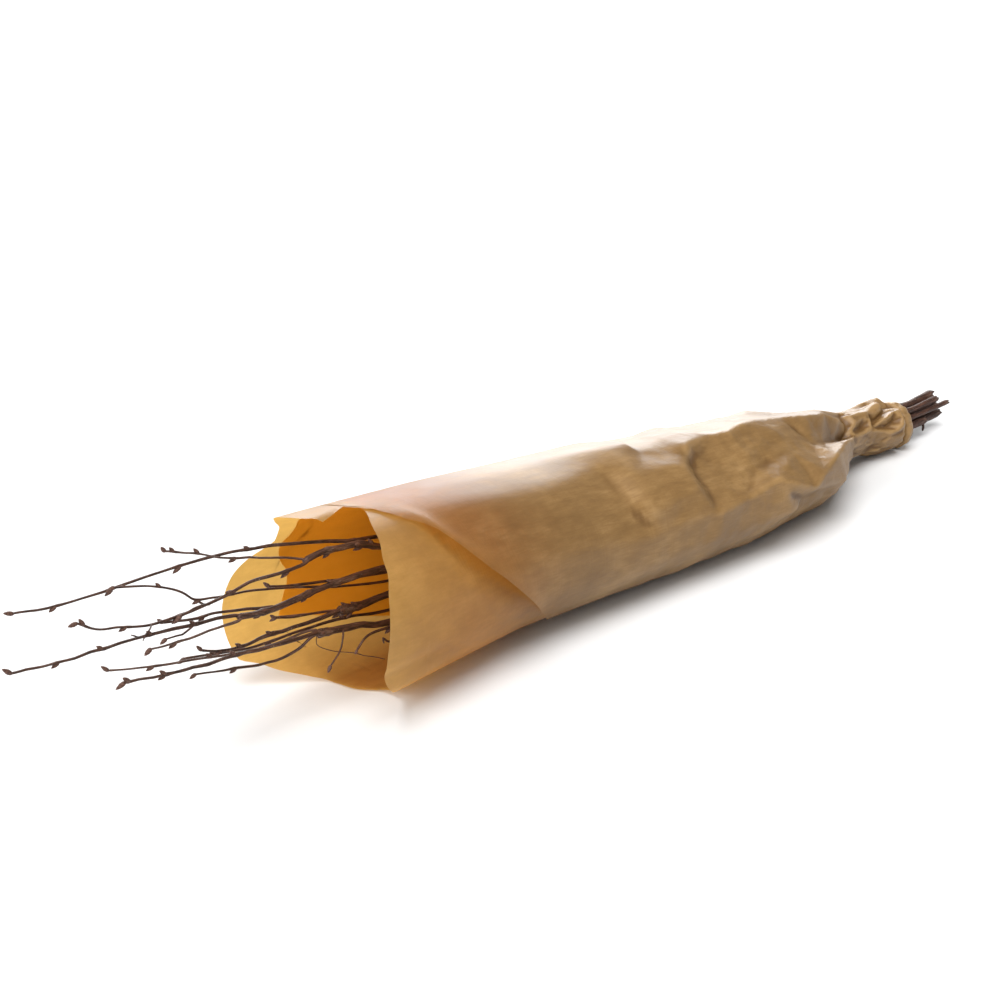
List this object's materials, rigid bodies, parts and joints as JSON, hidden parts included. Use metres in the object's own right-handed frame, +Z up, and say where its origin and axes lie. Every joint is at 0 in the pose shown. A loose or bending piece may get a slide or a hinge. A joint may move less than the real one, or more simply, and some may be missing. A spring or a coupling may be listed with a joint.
{
  "type": "bundle of twigs",
  "caption": "Bundle of bare branching twigs with buds, lying on its side in a rolled kraft paper sleeve that is open at the tips and gathered round the cut stems.",
  "frame": {"origin": "on the surface it lies on, under the middle of the whole bundle's box", "axes": "+X from the twig tips to the cut stems, +Z up, -Y the near side where the paper's free edge shows"},
  "size_m": [0.9056, 0.139, 0.147],
  "materials": {
    "kraft_paper": "matt brown kraft paper, orange inside where light comes through two layers",
    "bark": "dark reddish brown birch bark with pale lenticels",
    "young_bark": "thinner, greyer brown bark of young shoots"
  },
  "bodies": {
    "root": {"paper_wrap": "kraft_paper", "twig_1": "bark", "twig_2_stem": "bark", "twig_2_leader": "bark", "twig_2_side": "young_bark", "twig_3_stem": "bark", "twig_3_leader": "bark", "twig_3_side": "young_bark", "twig_4": "bark", "twig_5": "bark", "twig_6_stem": "bark", "twig_6_leader": "bark", "twig_6_side": "young_bark", "twig_7": "bark", "twig_8_stem": "bark", "twig_8_leader": "bark", "twig_8_upper": "young_bark", "twig_8_lower": "bark", "twig_9": "bark"}
  },
  "joints": []
}
